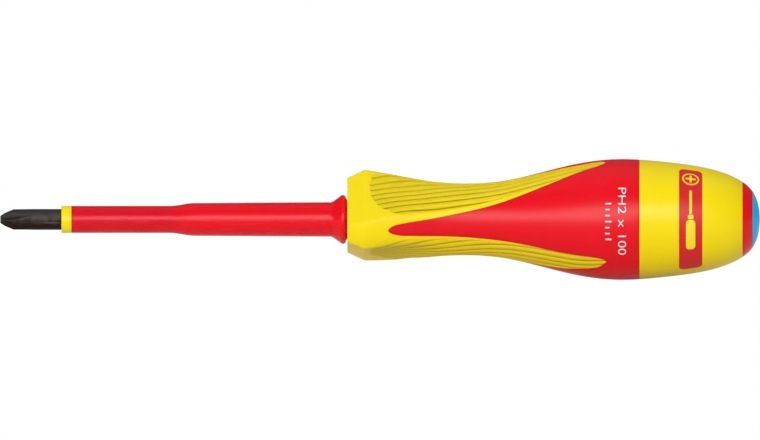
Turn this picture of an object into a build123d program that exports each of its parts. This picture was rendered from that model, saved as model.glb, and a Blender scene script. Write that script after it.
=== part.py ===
"""Insulated cross-recess screwdriver, size 2 x 100 mm, as separate solid pieces.

The tool's axis is X. The origin is the middle of the tip's end, and the handle lies
towards +X. +Z is up. Angles round the axis start at -Y and grow towards +Z.
"""

from build123d import *
import math
import os

# ---- driving dimensions, in mm and degrees ----------------------------------------
SHANK_R = 3.0              # bare round blade
HIDDEN_SHANK_R = 2.8       # blade inside its insulation
TIP_END_R = 1.0            # blunt end of the tip
TIP_SHOULDER_X = 1.25
TIP_SHOULDER_R = 1.85
TIP_CONE_END_X = 3.8
TIP_CONE_END_R = 2.93
FLUTE_END_X = 9.0          # where the four flutes run out
FLUTE_ROOT_R = 0.62        # flute bottom to axis at the tip's end
FLUTE_ANGLE = 20.0         # angle of the first flute
FLUTE_COUNT = 4

BARE_END_X = 17.6          # the bare metal ends here
INNER_END_X = 20.5         # the outer insulation starts here
INSULATION_R = 3.89
STEP_START_X = 49.4
STEP_END_X = 55.2
THICK_START_R = 4.71
THICK_END_X = 95.4
THICK_END_R = 4.96
GUARD_R = 7.05
GUARD_PEAK_X = 98.6
GUARD_BACK_R = 6.3
SPIGOT_R = 4.96            # insulation that goes on inside the handle
SPIGOT_END_X = 112.0
INSULATION_EDGE = 0.25

FACE_X = 100.0             # handle's front face, and the tool's 100 mm blade length
FACE_R = 11.96
FACE_FLAT = 8.18           # axis to flat at the front face
RIDGE_X = 105.0
RIDGE_R = 14.27
RIDGE_FLAT = 10.35
END_X = 218.85
LOBES = 3
LOBE_TURN = 360.0 / LOBES

# handle outline behind the ridge: (x, radius)
HANDLE_OUTLINE = [
    (RIDGE_X, RIDGE_R), (116.4, 12.33), (125.6, 10.81), (133.7, 10.37), (144.1, 10.98),
    (155.6, 13.49), (167.1, 16.22), (178.7, 17.39), (190.2, 16.71), (201.7, 15.19),
    (210.95, 12.45), (216.8, 8.1), (END_X, 0),
]

# the three flats behind the ridge: (x, axis to flat, angle of the flat's normal)
FLATS = [
    (RIDGE_X, RIDGE_FLAT, 40.0), (112.0, 10.0, 44.0), (119.0, 9.75, 48.0),
    (126.0, 10.2, 52.0), (132.0, 11.2, 55.0), (138.0, 12.6, 58.0),
]

# red petal edges: (x, lower angle, upper angle)
PETAL_EDGES = [
    (111.8, -15.0, -14.0), (112.4, -17.9, -10.7), (113.8, -20.5, -7.5), (115.3, -22.1, -5.9),
    (118.7, -24.0, -3.3), (123.9, -26.3, 0.7), (132.6, -29.4, 10.3), (141.2, -33.2, 21.8),
    (149.9, -36.1, 35.0), (158.5, -38.9, 46.9), (163.7, -39.8, 53.6), (167.1, -40.4, 58.5),
    (170.6, -40.9, 62.8), (172.3, -41.6, 65.6), (173.5, -42.5, 69.0), (174.3, -43.9, 72.7),
    (174.6, -45.0, 74.8),
]
PETAL_REACH_R = 27.0       # the petal tools reach past the handle
PETAL_ROOT_R = 4.0         # and start inside the core

BAND_START_X = 184.2
BAND_END_X = 213.9
RING_END_X = 216.8

CORE_START_X = 103.0
CORE_NECK_R = 7.0
CORE_NECK_END_X = 150.0
CORE_WIDE_X = 165.0
CORE_WIDE_R = 10.5
CORE_WIDE_END_X = 205.0
CORE_TAIL_R = 7.0
KEY_COUNT = 6
KEY_W = 3.0
KEY_TOP_R = 11.8
KEY_START_X = 168.0
KEY_END_X = 202.0

BLADE_END_X = 196.0
WING_START_X = 150.0
WING_END_X = 166.0
WING_SPAN = 9.6
WING_THICK = 2.6

STEM_R = 3.5
STEM_END_X = 206.0
STEM_CHAMFER = 0.8


def radial(x: float, radius: float, angle: float) -> Vector:
    """Point at a place along the axis, a radius and an angle round the axis."""
    turn = math.radians(angle)
    return Vector(x, -radius * math.cos(turn), radius * math.sin(turn))


def turned(profile: list) -> Part:
    """Solid of revolution about the tool's axis from an (x, radius) outline."""
    outline = Polyline(*[(x, 0, r) for x, r in profile], close=True)
    return revolve(make_face(outline), Axis.X)


def disc_block(start: float, end: float) -> Part:
    """Block wider than the handle between two places along the axis."""
    width = 2 * PETAL_REACH_R
    return Pos((start + end) / 2, 0, 0) * Box(end - start, width, width)


def section(points: list) -> Face:
    """Plane face through points that lie across the axis."""
    return Face(Wire.make_polygon(points, close=True))


# ---- blade ------------------------------------------------------------------------
def flute_cutter(angle: float) -> Part:
    """V groove with a right-angled bottom that runs out of the shank."""
    rise = math.degrees(math.atan2(SHANK_R - FLUTE_ROOT_R, FLUTE_END_X))
    groove = Polyline((0, 0, 0), (0, -6, 6), (0, 6, 6), close=True)
    tool = extrude(make_face(groove), amount=16, dir=(1, 0, 0), both=True)
    tool = Pos(0, 0, FLUTE_ROOT_R) * Rot(0, -rise, 0) * tool
    return Rot(90 - angle, 0, 0) * tool


def blade() -> Part:
    """Steel blade: cross tip, bare shank, hidden shank and the wings the core grips."""
    shank = turned([
        (0, 0), (0, TIP_END_R), (TIP_SHOULDER_X, TIP_SHOULDER_R),
        (TIP_CONE_END_X, TIP_CONE_END_R), (FLUTE_END_X + 0.4, SHANK_R),
        (BARE_END_X, SHANK_R), (BARE_END_X, HIDDEN_SHANK_R),
        (BLADE_END_X - 1, HIDDEN_SHANK_R), (BLADE_END_X, HIDDEN_SHANK_R - 1),
        (BLADE_END_X, 0),
    ])
    for number in range(FLUTE_COUNT):
        shank -= flute_cutter(FLUTE_ANGLE + number * 360 / FLUTE_COUNT)
    wing_length = WING_END_X - WING_START_X
    wings = Pos((WING_START_X + WING_END_X) / 2, 0, 0) * Box(wing_length, WING_SPAN, WING_THICK)
    wings = chamfer(wings.edges().filter_by(Axis.Z), 1.2)
    return shank + wings


# ---- insulation on the blade ------------------------------------------------------
def inner_insulation() -> Part:
    """Yellow inner sleeve: its front end stands out as a ring, the rest is thinner."""
    under_r = (HIDDEN_SHANK_R + INSULATION_R) / 2
    return turned([
        (BARE_END_X, HIDDEN_SHANK_R), (BARE_END_X, INSULATION_R - INSULATION_EDGE),
        (BARE_END_X + INSULATION_EDGE, INSULATION_R), (INNER_END_X, INSULATION_R),
        (INNER_END_X, under_r), (SPIGOT_END_X, under_r), (SPIGOT_END_X, HIDDEN_SHANK_R),
    ])


def outer_insulation() -> Part:
    """Red outer sleeve with its step, the rounded guard collar and the hidden spigot."""
    under_r = (HIDDEN_SHANK_R + INSULATION_R) / 2
    lead = Polyline(
        (FACE_X, 0, SPIGOT_R), (SPIGOT_END_X, 0, SPIGOT_R), (SPIGOT_END_X, 0, under_r),
        (INNER_END_X, 0, under_r), (INNER_END_X, 0, INSULATION_R - INSULATION_EDGE),
        (INNER_END_X + INSULATION_EDGE, 0, INSULATION_R), (STEP_START_X, 0, INSULATION_R),
        (STEP_END_X, 0, THICK_START_R), (THICK_END_X, 0, THICK_END_R),
    )
    flare = Spline(
        (THICK_END_X, 0, THICK_END_R), (97.4, 0, 6.25), (GUARD_PEAK_X, 0, GUARD_R),
        (FACE_X, 0, GUARD_BACK_R),
        tangents=[(1, 0, 0.05), (0.35, 0, -1)],
    )
    back = Line((FACE_X, 0, GUARD_BACK_R), (FACE_X, 0, SPIGOT_R))
    return revolve(make_face([lead, flare, back]), Axis.X)


# ---- handle -----------------------------------------------------------------------
def flat_tool(stations: list, lobe: int, ruled: bool) -> Part:
    """Tool that cuts one of the three flats, from (x, axis to flat, angle) stations."""
    reach = PETAL_REACH_R
    faces = []
    for x, distance, angle in stations:
        turn = angle + lobe * LOBE_TURN
        out = radial(0, 1, turn)
        across = radial(0, 1, turn + 90)
        centre = Vector(x, 0, 0)
        faces.append(section([
            centre + out * distance - across * reach, centre + out * distance + across * reach,
            centre + out * reach + across * reach, centre + out * reach - across * reach,
        ]))
    return loft(faces, ruled=ruled)


def handle_envelope() -> Part:
    """Outer shape of the handle, from its front face to the end of the cap."""
    front = Polyline((END_X, 0, 0), (FACE_X, 0, 0), (FACE_X, 0, FACE_R), (RIDGE_X, 0, RIDGE_R))
    back = Spline(
        *[(x, 0, r) for x, r in HANDLE_OUTLINE],
        tangents=[(1, 0, -0.145), (0, 0, -1)],
    )
    body = revolve(make_face([front, back]), Axis.X)
    slope = (RIDGE_FLAT - FACE_FLAT) / (RIDGE_X - FACE_X)
    lead = 2.0
    first_angle = FLATS[0][2]
    chamfers = [
        (FACE_X - lead, FACE_FLAT - lead * slope, first_angle),
        (RIDGE_X, RIDGE_FLAT, first_angle),
    ]
    for lobe in range(LOBES):
        body -= flat_tool(chamfers, lobe, ruled=True)
        body -= flat_tool(FLATS, lobe, ruled=False)
    return body


def handle_core(blade_solid: Part, sleeves: list) -> Part:
    """Hard core moulded round the blade's tail, with keys that hold the shells."""
    core = turned([
        (CORE_START_X, 0), (CORE_START_X, CORE_NECK_R), (CORE_NECK_END_X, CORE_NECK_R),
        (CORE_WIDE_X, CORE_WIDE_R), (CORE_WIDE_END_X, CORE_WIDE_R),
        (CORE_WIDE_END_X + 4, CORE_TAIL_R), (BAND_END_X, CORE_TAIL_R), (BAND_END_X, 0),
    ])
    key = Pos((KEY_START_X + KEY_END_X) / 2, 0, KEY_TOP_R / 2)
    key = key * Box(KEY_END_X - KEY_START_X, KEY_W, KEY_TOP_R)
    for number in range(KEY_COUNT):
        core += Rot(number * 360 / KEY_COUNT, 0, 0) * key
    for piece in [blade_solid, *sleeves, end_stem()]:
        core -= piece
    return core


def end_stem() -> Part:
    """Round stem that the end cap pushes into the core."""
    return turned([
        (RING_END_X, 0), (RING_END_X, STEM_R), (STEM_END_X + STEM_CHAMFER, STEM_R),
        (STEM_END_X, STEM_R - STEM_CHAMFER), (STEM_END_X, 0),
    ])


def petal_tool(lobe: int) -> Part:
    """Wedge that marks out one red petal, from its rounded tip to its full width."""
    faces = []
    for x, low, high in PETAL_EDGES:
        middle = (low + high) / 2
        corners = [
            (PETAL_ROOT_R, low), (PETAL_REACH_R, low), (PETAL_REACH_R, middle),
            (PETAL_REACH_R, high), (PETAL_ROOT_R, high),
        ]
        faces.append(section([radial(x, r, a + lobe * LOBE_TURN) for r, a in corners]))
    return loft(faces, ruled=True)


def handle_pieces(envelope: Part, core: Part, inner_pieces: list) -> dict:
    """Cut the handle's envelope into its moulded shells, rings and cap."""
    stem = end_stem()
    shell = envelope - core - stem
    for piece in inner_pieces:
        shell -= piece
    petals_end = PETAL_EDGES[-1][0]
    front = shell & disc_block(FACE_X - 1, petals_end)
    grip = front
    red = shell & disc_block(petals_end, BAND_START_X)
    for lobe in range(LOBES):
        tool = petal_tool(lobe)
        grip -= tool
        red += front & tool
    return {
        "grip": grip,
        "petal_body": red,
        "rear_band": shell & disc_block(BAND_START_X, BAND_END_X),
        "rear_ring": shell & disc_block(BAND_END_X, RING_END_X),
        "end_cap": (envelope & disc_block(RING_END_X, END_X + 1)) + stem,
    }


def build() -> dict:
    """Make every piece, by node name."""
    blade_solid = blade()
    inner = inner_insulation()
    outer = outer_insulation()
    core = handle_core(blade_solid, [inner, outer])
    pieces = {
        "blade": blade_solid,
        "inner_insulation": inner,
        "outer_insulation": outer,
        "handle_core": core,
    }
    pieces.update(handle_pieces(handle_envelope(), core, [blade_solid, inner, outer]))
    return pieces


os.makedirs("parts", exist_ok=True)
for node, solid in build().items():
    export_step(solid, f"parts/{node}.step")
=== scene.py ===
"""Looks of an insulated cross-recess screwdriver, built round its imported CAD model.

The tool's axis is X, from the tip at the origin to the handle's end. Angles round the
axis start at -Y and grow towards +Z. Sizes are in millimetres until a mesh is made.
"""

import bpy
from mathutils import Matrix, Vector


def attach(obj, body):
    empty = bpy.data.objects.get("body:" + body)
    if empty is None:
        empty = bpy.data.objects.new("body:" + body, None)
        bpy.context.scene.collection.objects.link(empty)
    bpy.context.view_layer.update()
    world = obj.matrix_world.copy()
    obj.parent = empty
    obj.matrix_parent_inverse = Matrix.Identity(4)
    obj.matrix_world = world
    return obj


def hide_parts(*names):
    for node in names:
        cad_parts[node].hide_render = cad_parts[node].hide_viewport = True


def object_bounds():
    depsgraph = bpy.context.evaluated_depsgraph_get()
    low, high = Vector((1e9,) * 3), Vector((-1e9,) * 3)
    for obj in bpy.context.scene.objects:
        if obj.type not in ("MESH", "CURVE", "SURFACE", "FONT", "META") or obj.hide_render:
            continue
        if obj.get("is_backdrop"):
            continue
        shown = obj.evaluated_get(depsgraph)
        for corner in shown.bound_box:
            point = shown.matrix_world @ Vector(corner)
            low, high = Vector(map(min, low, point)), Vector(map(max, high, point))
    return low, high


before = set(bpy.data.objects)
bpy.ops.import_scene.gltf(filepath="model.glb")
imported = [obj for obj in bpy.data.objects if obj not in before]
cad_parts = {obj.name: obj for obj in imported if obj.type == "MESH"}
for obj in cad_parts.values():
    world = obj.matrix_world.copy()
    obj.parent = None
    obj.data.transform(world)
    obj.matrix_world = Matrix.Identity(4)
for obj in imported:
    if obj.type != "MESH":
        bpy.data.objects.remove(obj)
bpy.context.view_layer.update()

import logging
import math
from collections.abc import Sequence
from dataclasses import dataclass, field
from enum import Enum

import bpy
import numpy as np
from mathutils import Vector

MM = 0.001
ROOT = "root"
TURN_STEPS = 128
RING_SIDES = 72
MERGE_GAP = 1e-6
SEAM_GAP = 2e-6
TINY_GAP = 1e-7
# Painted shade: point attribute on the grip that darkens its colour in and round the grooves.
GROOVE_SHADE_MAP = "groove"

Triple = tuple[float, float, float]
Colour = Triple
Pairs = tuple[tuple[float, float], ...]
Triples = tuple[Triple, ...]

log = logging.getLogger("screwdriver")


class Slot(Enum):
    """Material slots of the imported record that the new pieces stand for."""

    YELLOW = "yellow_plastic"
    RED = "red_plastic"
    BLUE = "blue_plastic"
    PRINT = "white_print"


class Shading(Enum):
    """Least angle, in degrees, that still shows as an edge on a finished mesh."""

    MOULDED = 38.0
    CRISP = 25.0


# ---- curves and forms ---------------------------------------------------------------
class CubicCurve:
    """Cubic curve through points, as a function of one value, with chosen end slopes."""

    def __init__(self, knots: Sequence[float], values: Sequence[float],
                 start: float | None = None, end: float | None = None) -> None:
        """Solve the curve's slopes.

        Args:
            knots: Growing values that the curve is a function of.
            values: The curve's value at each knot.
            start: Slope at the first knot, or None for a straight end.
            end: Slope at the last knot, or None for a straight end.
        """
        self.knots = np.asarray(knots, float)
        self.values = np.asarray(values, float)
        steps = np.diff(self.knots)
        rises = np.diff(self.values) / steps
        count = len(self.knots)
        matrix = np.zeros((count, count))
        target = np.zeros(count)
        for i in range(1, count - 1):
            matrix[i, i - 1:i + 2] = steps[i], 2 * (steps[i - 1] + steps[i]), steps[i - 1]
            target[i] = 3 * (steps[i] * rises[i - 1] + steps[i - 1] * rises[i])
        for row, other, slope, rise in ((0, 1, start, rises[0]), (-1, -2, end, rises[-1])):
            matrix[row, row] = 1.0 if slope is not None else 2.0
            matrix[row, other] = 0.0 if slope is not None else 1.0
            target[row] = slope if slope is not None else 3 * rise
        self.slopes = np.linalg.solve(matrix, target)

    def __call__(self, at: np.ndarray | float) -> np.ndarray:
        """Value of the curve at one place or many, held level past its ends."""
        place = np.clip(np.asarray(at, float), self.knots[0], self.knots[-1])
        i = np.clip(np.searchsorted(self.knots, place, side="right") - 1, 0, len(self.knots) - 2)
        step = self.knots[i + 1] - self.knots[i]
        t = (place - self.knots[i]) / step
        low, high = self.values[i], self.values[i + 1]
        first, last = self.slopes[i] * step, self.slopes[i + 1] * step
        return (low * (1 + 2 * t) * (1 - t) ** 2 + high * t * t * (3 - 2 * t)
                + first * t * (1 - t) ** 2 + last * t * t * (t - 1))


def smooth_ramp(value: np.ndarray, low: float, high: float) -> np.ndarray:
    """Ramp from 0 at low to 1 at high with level ends."""
    t = np.clip((value - low) / (high - low), 0, 1)
    return t * t * (3 - 2 * t)


def soft_least(a: np.ndarray, b: np.ndarray, blend: float) -> np.ndarray:
    """The lesser of two values, rounded over where they are within blend of each other."""
    mix = np.clip(0.5 + 0.5 * (b - a) / blend, 0, 1)
    return b * (1 - mix) + a * mix - blend * mix * (1 - mix)


def round_axis(x: np.ndarray, radius: np.ndarray, angle: np.ndarray) -> np.ndarray:
    """Points in metres from places along the axis, radii in mm and angles in degrees."""
    turn = np.radians(angle)
    return np.stack([x, -radius * np.cos(turn), radius * np.sin(turn)], -1) * MM


@dataclass
class HandleForm:
    """The handle's outer surface as a radius over place and angle."""

    face_x: float = 100.0
    face_r: float = 11.96
    face_flat: float = 8.18
    ridge_x: float = 105.0
    ridge_flat: float = 10.35
    lobe_turn: float = 120.0
    creases: Pairs = ((100.0, 0.45), (105.0, 0.35), (109.0, 0.45), (118.0, 0.9), (138.0, 1.2))
    outline: Pairs = (
        (105.0, 14.27), (116.4, 12.33), (125.6, 10.81), (133.7, 10.37), (144.1, 10.98),
        (155.6, 13.49), (167.1, 16.22), (178.7, 17.39), (190.2, 16.71), (201.7, 15.19),
        (210.95, 12.45), (216.8, 8.1), (218.85, 0.0),
    )
    flats: Triples = (
        (105.0, 10.35, 40.0), (112.0, 10.05, 44.0), (119.0, 9.9, 48.0),
        (126.0, 10.4, 52.0), (132.0, 11.35, 55.0), (138.0, 12.7, 58.0),
    )
    start_slope: float = -0.145
    table_steps: int = 8000
    table: tuple[np.ndarray, np.ndarray] = field(init=False)

    def __post_init__(self) -> None:
        """Trace the outline once, since it ends square to the axis."""
        x, r = np.array(self.outline).T
        chord = np.concatenate([[0], np.cumsum(np.hypot(np.diff(x), np.diff(r)))])
        length = math.hypot(1, self.start_slope)
        along = CubicCurve(chord, x, 1 / length, 0.0)
        across = CubicCurve(chord, r, self.start_slope / length, -1.0)
        fine = np.linspace(0, chord[-1], self.table_steps)
        self.table = (along(fine), across(fine))

        places, distances, angles = np.array(self.flats).T
        self.flat_distance = CubicCurve(places, distances)
        self.flat_angle = CubicCurve(places, angles)
        self.crease = CubicCurve(*np.array(self.creases).T)

    def round_radius(self, x: np.ndarray | float) -> np.ndarray:
        """Radius of the round parts at a place along the axis."""
        x = np.asarray(x, float)
        front = self.face_r + (x - self.face_x) * (
            (self.outline[0][1] - self.face_r) / (self.ridge_x - self.face_x))
        return np.where(x < self.ridge_x, front, np.interp(x, *self.table))

    def radius(self, x: np.ndarray, angle: np.ndarray) -> np.ndarray:
        """Radius of the surface, with its three flats, at places and angles.

        Args:
            x: Places along the axis.
            angle: Angles round the axis, in degrees, of a shape that fits x.

        Returns:
            The radii in mm.
        """
        slope = (self.ridge_flat - self.face_flat) / (self.ridge_x - self.face_x)
        distance = np.where(x < self.ridge_x, self.face_flat + (x - self.face_x) * slope,
                            self.flat_distance(x))
        distance = distance + np.maximum(x - self.flats[-1][0], 0)
        normal = self.flat_angle(x)
        turn = (angle - normal + self.lobe_turn / 2) % self.lobe_turn - self.lobe_turn / 2
        flat = distance / np.cos(np.radians(turn))
        return soft_least(np.broadcast_to(self.round_radius(x), flat.shape), flat, self.crease(x))


@dataclass
class PetalForm:
    """Edges of the red petals, which also bound the yellow panels between them."""

    tip_x: float = 111.8
    root_x: float = 174.6
    lobe_turn: float = 120.0
    edges: Triples = (
        (111.8, -14.5, -14.5), (112.4, -17.9, -10.7), (113.8, -20.5, -7.5), (115.3, -22.1, -5.9),
        (118.7, -24.0, -3.3), (123.9, -26.3, 0.7), (132.6, -29.4, 10.3), (141.2, -33.2, 21.8),
        (149.9, -36.1, 35.0), (158.5, -38.9, 46.9), (163.7, -39.8, 53.6), (167.1, -40.4, 58.5),
        (170.6, -40.9, 62.8), (172.3, -41.6, 65.6), (173.5, -42.5, 69.0), (174.3, -43.9, 72.7),
        (174.6, -45.2, 74.8),
    )

    def __post_init__(self) -> None:
        """Make each edge a curve over a value that opens out the rounded ends."""
        x, low, high = np.array(self.edges).T
        self.low_curve = CubicCurve(self.opened(x), low)
        self.high_curve = CubicCurve(self.opened(x), high)

    def opened(self, x: np.ndarray | float) -> np.ndarray:
        """Half-circle measure of a place between the petals' tips and their roots."""
        share = np.clip((np.asarray(x, float) - self.tip_x) / (self.root_x - self.tip_x), 0, 1)
        return np.arccos(1 - 2 * share)

    def low(self, x: np.ndarray | float) -> np.ndarray:
        """Angle of the first petal's lower edge."""
        return self.low_curve(self.opened(x))

    def high(self, x: np.ndarray | float) -> np.ndarray:
        """Angle of the first petal's upper edge."""
        return self.high_curve(self.opened(x))

    def stations(self, count: int) -> np.ndarray:
        """Places along the petals, close together at their rounded ends."""
        opened = np.linspace(0, math.pi, count)
        return self.tip_x + (self.root_x - self.tip_x) * (1 - np.cos(opened)) / 2


@dataclass
class RibField:
    """Saw-tooth ribs that sweep along each yellow panel."""

    depths: Pairs = (
        (105.0, 0.26), (114.0, 0.30), (125.0, 0.40), (135.0, 0.44), (160.0, 0.46), (174.6, 0.34),
    )
    sink: float = 0.05
    nick: float = 0.16
    nick_width: float = 0.05
    crest: float = 0.50
    middle_groove: int = 3
    last_groove: float = 6.6
    last_fade: float = 1.7
    start_step: float = 0.3
    low_fade: float = 3.2
    high_fade: float = 9.0
    lines: Triples = (
        (107.0, 32.4, 10.8), (115.3, 43.8, 11.0), (123.9, 50.2, 11.7), (132.6, 57.3, 11.5),
        (138.3, 61.8, 11.4), (149.9, 68.4, 10.2), (155.6, 69.9, 9.3), (161.4, 70.6, 8.4),
        (167.1, 71.6, 7.4), (174.6, 75.3, 5.0),
    )
    starts: Pairs = (
        (-1.5, 121.0), (0.0, 113.5), (1.0, 110.4), (2.0, 108.7), (3.0, 107.5), (4.0, 106.8),
        (5.0, 106.45), (6.0, 106.45), (7.0, 107.0), (8.0, 108.4), (9.0, 111.5),
    )
    margins: Pairs = (
        (105.0, 13.0), (115.3, 12.5), (132.6, 10.5), (145.0, 9.0), (155.6, 5.5), (165.0, 2.5),
        (174.6, 0.5),
    )

    def __post_init__(self) -> None:
        """Make the tables above into curves."""
        x, middle, pitch = np.array(self.lines).T
        self.middle = CubicCurve(x, middle)
        self.pitch = CubicCurve(x, pitch)
        self.start = CubicCurve(*np.array(self.starts).T)
        self.margin = CubicCurve(*np.array(self.margins).T)
        self.depth = CubicCurve(*np.array(self.depths).T)

    def count_at(self, x: np.ndarray, angle: np.ndarray) -> np.ndarray:
        """Ribs counted across the first panel: whole numbers are grooves."""
        return (angle - self.middle(x)) / self.pitch(x) + self.middle_groove

    def angle_at(self, x: np.ndarray, ribs: np.ndarray) -> np.ndarray:
        """Angle at a number of ribs counted across the first panel."""
        return self.middle(x) + (ribs - self.middle_groove) * self.pitch(x)

    def groove_nearness(self, ribs: np.ndarray, width: float) -> np.ndarray:
        """Nearness to a groove's bottom, from 1 in it to 0 past the width, a share of a rib."""
        part = ribs % 1.0
        return np.exp(-(np.minimum(part, 1 - part) / width) ** 2)

    def profile(self, x: np.ndarray, ribs: np.ndarray) -> np.ndarray:
        """Depth below the smooth skin for one rib's rounded cross-section."""
        part = ribs % 1.0
        away = np.where(part < self.crest, (self.crest - part) / self.crest,
                        (part - self.crest) / (1 - self.crest))
        nick = self.nick * self.groove_nearness(ribs, self.nick_width)
        return self.sink + self.depth(x) * away ** 2 + nick

    def presence(self, x: np.ndarray, angle: np.ndarray, low: np.ndarray,
                 high: np.ndarray) -> np.ndarray:
        """Share of the ribs' depth that is present, from 0 on the smooth skin to 1.

        Args:
            x: Places along the axis.
            angle: Angles in the first panel.
            low: Lower edge of the panel at x.
            high: Upper edge of the panel at x.

        Returns:
            The share at each point.
        """
        ribs = self.count_at(x, angle)
        start = self.start(ribs)
        along = smooth_ramp(x, start, start + self.start_step)
        margin = self.margin(x)
        across = (smooth_ramp(angle - low, margin - self.low_fade, margin)
                  * smooth_ramp(high - angle, margin - self.high_fade, margin))
        outer = 1 - smooth_ramp(ribs, self.last_groove, self.last_groove + self.last_fade)
        return along * across * outer


# ---- mesh helpers -------------------------------------------------------------------
def leave_edit() -> None:
    """Go back from edit mode to object mode."""
    bpy.ops.object.mode_set(mode="OBJECT")


def deselect() -> None:
    """Deselect every object, in object mode."""
    if bpy.context.object and bpy.context.object.mode != "OBJECT":
        leave_edit()
    bpy.ops.object.select_all(action="DESELECT")


def activate(piece: bpy.types.Object) -> None:
    """Make one object the only selected one and the active one."""
    deselect()
    piece.select_set(True)
    bpy.context.view_layer.objects.active = piece


def edit(piece: bpy.types.Object, select: bool = True) -> None:
    """Enter edit mode on a piece with all or none of it selected."""
    activate(piece)
    bpy.ops.object.mode_set(mode="EDIT")
    bpy.ops.mesh.select_all(action="SELECT" if select else "DESELECT")


def named(name: str) -> bpy.types.Object:
    """The active object, with its mesh and itself given a name."""
    piece = bpy.context.object
    piece.name = piece.data.name = name
    return piece


def place_points(piece: bpy.types.Object, points: np.ndarray) -> None:
    """Move every vertex of a piece to the given points, in metres."""
    piece.data.vertices.foreach_set("co", np.asarray(points, np.float32).ravel())
    piece.data.update()


def read_points(piece: bpy.types.Object) -> np.ndarray:
    """Every vertex of a piece as an array of points, in metres."""
    points = np.empty(len(piece.data.vertices) * 3, np.float32)
    piece.data.vertices.foreach_get("co", points)
    return points.reshape(-1, 3).astype(float)


def grid_piece(name: str, points: np.ndarray) -> bpy.types.Object:
    """Sheet of quads whose rows and columns lie at the given points.

    Args:
        name: Name of the piece.
        points: Array of rows by columns by 3, in metres.

    Returns:
        The new object.
    """
    rows, columns = points.shape[:2]
    deselect()
    bpy.ops.mesh.primitive_grid_add(x_subdivisions=columns - 1, y_subdivisions=rows - 1, size=1)
    piece = named(name)
    place_points(piece, points.reshape(-1, 3))
    return piece


def apply_modifiers(piece: bpy.types.Object) -> None:
    """Apply every modifier of a piece in order."""
    activate(piece)
    for modifier in list(piece.modifiers):
        bpy.ops.object.modifier_apply(modifier=modifier.name)


def joined(name: str, parts: Sequence[bpy.types.Object]) -> bpy.types.Object:
    """Parts joined into one mesh, not yet merged."""
    deselect()
    for part in parts:
        part.select_set(True)
    bpy.context.view_layer.objects.active = parts[0]
    bpy.ops.object.join()
    return named(name)


def merge(piece: bpy.types.Object, gap: float, empty: float) -> None:
    """Merge doubled vertices and drop empty faces, and stay in edit mode.

    Args:
        piece: The piece to merge.
        gap: Vertices nearer than this become one.
        empty: Edges shorter than this go.
    """
    edit(piece)
    bpy.ops.mesh.remove_doubles(threshold=gap)
    bpy.ops.mesh.dissolve_degenerate(threshold=empty)


def face_outwards() -> None:
    """Turn every face of the piece in edit mode outwards, and leave edit mode."""
    bpy.ops.mesh.select_all(action="SELECT")
    bpy.ops.mesh.normals_make_consistent(inside=False)
    leave_edit()


def select_open_edges(piece: bpy.types.Object) -> None:
    """Enter edit mode with only the edges selected that bound an open sheet."""
    edit(piece, select=False)
    bpy.ops.mesh.select_mode(type="EDGE")
    bpy.ops.mesh.select_non_manifold(extend=False, use_wire=False, use_multi_face=False,
                                     use_non_contiguous=False, use_verts=False)


def shade(piece: bpy.types.Object, shading: Shading) -> None:
    """Shade a piece smooth, with edges sharper than the shading's angle kept."""
    activate(piece)
    bpy.ops.object.shade_smooth_by_angle(angle=math.radians(shading.value))


def rounded(outline: Sequence[tuple], steps: int = 5) -> list[tuple[float, float]]:
    """Closed outline with its corners rounded.

    Args:
        outline: Corners as (x, r) or (x, r, rounding) in mm.
        steps: Spans on each rounded corner.

    Returns:
        The points of the rounded outline.
    """
    corners = [np.array(corner[:2], float) for corner in outline]
    result = []
    for i, corner in enumerate(outline):
        here = corners[i]
        if len(corner) < 3:
            result.append(tuple(here))
            continue
        before = corners[i - 1] - here
        after = corners[(i + 1) % len(corners)] - here
        first = here + before / np.linalg.norm(before) * corner[2]
        last = here + after / np.linalg.norm(after) * corner[2]
        for t in np.linspace(0, 1, steps + 1):
            result.append(tuple(first * (1 - t) ** 2 + here * 2 * t * (1 - t) + last * t * t))
    return result


def turned_piece(name: str, outline: Sequence[tuple[float, float]]) -> bpy.types.Object:
    """Solid of revolution about the tool's axis from a closed (x, r) outline in mm."""
    deselect()
    bpy.ops.mesh.primitive_circle_add(vertices=len(outline), radius=MM)
    piece = named(name)
    place_points(piece, [(x * MM, 0, r * MM) for x, r in outline])
    edit(piece)
    bpy.ops.mesh.spin(steps=TURN_STEPS, angle=math.tau, center=(0, 0, 0), axis=(1, 0, 0),
                      use_auto_merge=True)
    leave_edit()
    merge(piece, MERGE_GAP, MERGE_GAP)
    face_outwards()
    return piece


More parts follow.
